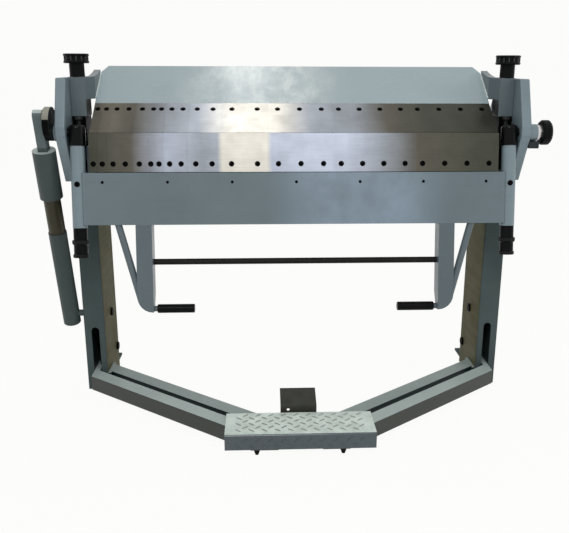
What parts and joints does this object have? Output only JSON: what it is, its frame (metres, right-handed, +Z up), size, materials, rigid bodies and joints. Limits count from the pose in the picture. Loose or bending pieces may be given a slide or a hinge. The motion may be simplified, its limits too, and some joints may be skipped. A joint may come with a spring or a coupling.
{
  "type": "sheet metal brake",
  "caption": "Floor-standing box and pan folding machine with segmented blades, a foot-operated clamp and a hand-swung leaf balanced by a spring strut.",
  "frame": {"origin": "on the floor under the middle of the machine", "axes": "+X along the bend line to the operator's right, +Y away from the operator, +Z up"},
  "size_m": [1.6094, 0.842, 1.1453],
  "materials": {
    "grey_blue_paint": "semi-gloss grey-blue paint",
    "clamp_beam_paint": "semi-gloss light grey-blue paint",
    "ground_steel": "ground and lightly brushed",
    "bright_steel": "turned, bright",
    "black_oxide": "black oxide",
    "black_plastic": "satin black",
    "black_rubber": "matt black",
    "bronze_tube": "olive-bronze plating",
    "tread_plate_paint": "grey paint over raised tread"
  },
  "bodies": {
    "frame": {"side_plate_left": "grey_blue_paint", "side_plate_right": "grey_blue_paint", "leg_left": "grey_blue_paint", "leg_right": "grey_blue_paint", "bed_beam": "grey_blue_paint", "bed_blades": "ground_steel", "bed_end_block_left": "black_oxide", "bed_end_block_right": "black_oxide", "stop_block": "grey_blue_paint", "v_stretcher": "grey_blue_paint", "front_foot": "black_rubber", "treadle_pin_left": "black_oxide", "treadle_pin_right": "black_oxide", "strut_anchor_pin": "grey_blue_paint"},
    "clamp": {"clamp_beam": "clamp_beam_paint", "clamp_bracket_left": "grey_blue_paint", "clamp_bracket_right": "grey_blue_paint", "finger_025": "ground_steel", "finger_030": "ground_steel", "finger_035": "ground_steel", "finger_040": "ground_steel", "finger_045": "ground_steel", "finger_050": "ground_steel", "finger_075": "ground_steel", "finger_100": "ground_steel", "finger_150": "ground_steel", "finger_200": "ground_steel", "finger_250": "ground_steel", "finger_270": "ground_steel", "pull_rod_left": "bright_steel", "pull_rod_right": "bright_steel"},
    "clamp_knob_left": {"clamp_knob_left": "black_plastic"},
    "clamp_knob_right": {"clamp_knob_right": "black_plastic"},
    "leaf": {"leaf_beam": "grey_blue_paint", "leaf_blades": "ground_steel", "hinge_tube_left": "grey_blue_paint", "hinge_tube_right": "grey_blue_paint", "hinge_cap_left": "black_oxide", "hinge_cap_right": "black_oxide", "pivot_shaft_left": "bright_steel", "pivot_shaft_right": "bright_steel", "leaf_arm_left": "grey_blue_paint", "leaf_arm_right": "grey_blue_paint", "tie_rod": "black_oxide", "handle_grip_left": "black_plastic", "handle_grip_right": "black_plastic", "crank_disc": "bright_steel"},
    "adjuster_left": {"adjuster_knob_left": "black_plastic"},
    "adjuster_right": {"adjuster_knob_right": "black_plastic"},
    "stop_knob": {"stop_knob": "black_plastic"},
    "strut_tube": {"strut_lower_tube": "grey_blue_paint", "strut_inner_tube": "bronze_tube"},
    "strut_sleeve": {"strut_sleeve": "grey_blue_paint"},
    "treadle": {"foot_plate": "tread_plate_paint", "treadle_arm_left": "grey_blue_paint", "treadle_arm_right": "grey_blue_paint", "treadle_bumper_left": "black_rubber", "treadle_bumper_right": "black_rubber"},
    "release_pedal": {"release_pedal": "black_oxide"}
  },
  "joints": [
    {"name": "leaf_swing", "type": "hinge", "parent": "frame", "child": "leaf", "pos_m": [0, -0.034, 0.912], "axis": [-1, 0, 0], "range_deg": [0, 135]},
    {"name": "beam_lift", "type": "slide", "parent": "frame", "child": "clamp", "axis": [0, 0, 1], "range_m": [0, 0.047]},
    {"name": "treadle_swing", "type": "hinge", "parent": "frame", "child": "treadle", "pos_m": [0, 0.277, 0.094], "axis": [-1, 0, 0], "range_deg": [0, 18]},
    {"name": "strut_tilt", "type": "hinge", "parent": "frame", "child": "strut_tube", "pos_m": [-0.775, 0.118, 0.28], "axis": [-1, 0, 0], "range_deg": [0, 6.7]},
    {"name": "strut_slide", "type": "slide", "parent": "strut_tube", "child": "strut_sleeve", "axis": [0, 0.2594, -0.9658], "range_m": [0, 0.086]},
    {"name": "clamp_knob_left_turn", "type": "hinge", "parent": "clamp", "child": "clamp_knob_left", "pos_m": [-0.677, 0.052, 1.072], "axis": [0, 0, 1], "continuous": true},
    {"name": "clamp_knob_right_turn", "type": "hinge", "parent": "clamp", "child": "clamp_knob_right", "pos_m": [0.677, 0.052, 1.072], "axis": [0, 0, 1], "continuous": true},
    {"name": "adjuster_left_turn", "type": "hinge", "parent": "leaf", "child": "adjuster_left", "pos_m": [-0.671, -0.034, 0.912], "axis": [0, 0.165, 0.9863], "continuous": true},
    {"name": "adjuster_right_turn", "type": "hinge", "parent": "leaf", "child": "adjuster_right", "pos_m": [0.671, -0.034, 0.912], "axis": [0, 0.165, 0.9863], "continuous": true},
    {"name": "stop_knob_turn", "type": "hinge", "parent": "leaf", "child": "stop_knob", "pos_m": [0.729, -0.034, 0.912], "axis": [1, 0, 0], "continuous": true},
    {"name": "release_pedal_press", "type": "hinge", "parent": "frame", "child": "release_pedal", "pos_m": [0, -0.262, 0.044], "axis": [-1, 0, 0], "range_deg": [0, 10], "stiffness_Nm_per_rad": 4}
  ],
  "couplings": [
    {"joint": "treadle_swing", "follows": "beam_lift", "rad_per_m": 6.6667},
    {"joint": "strut_tilt", "follows": "leaf_swing", "ratio": 0.04864},
    {"joint": "strut_slide", "follows": "leaf_swing", "m_per_rad": 0.03621}
  ]
}
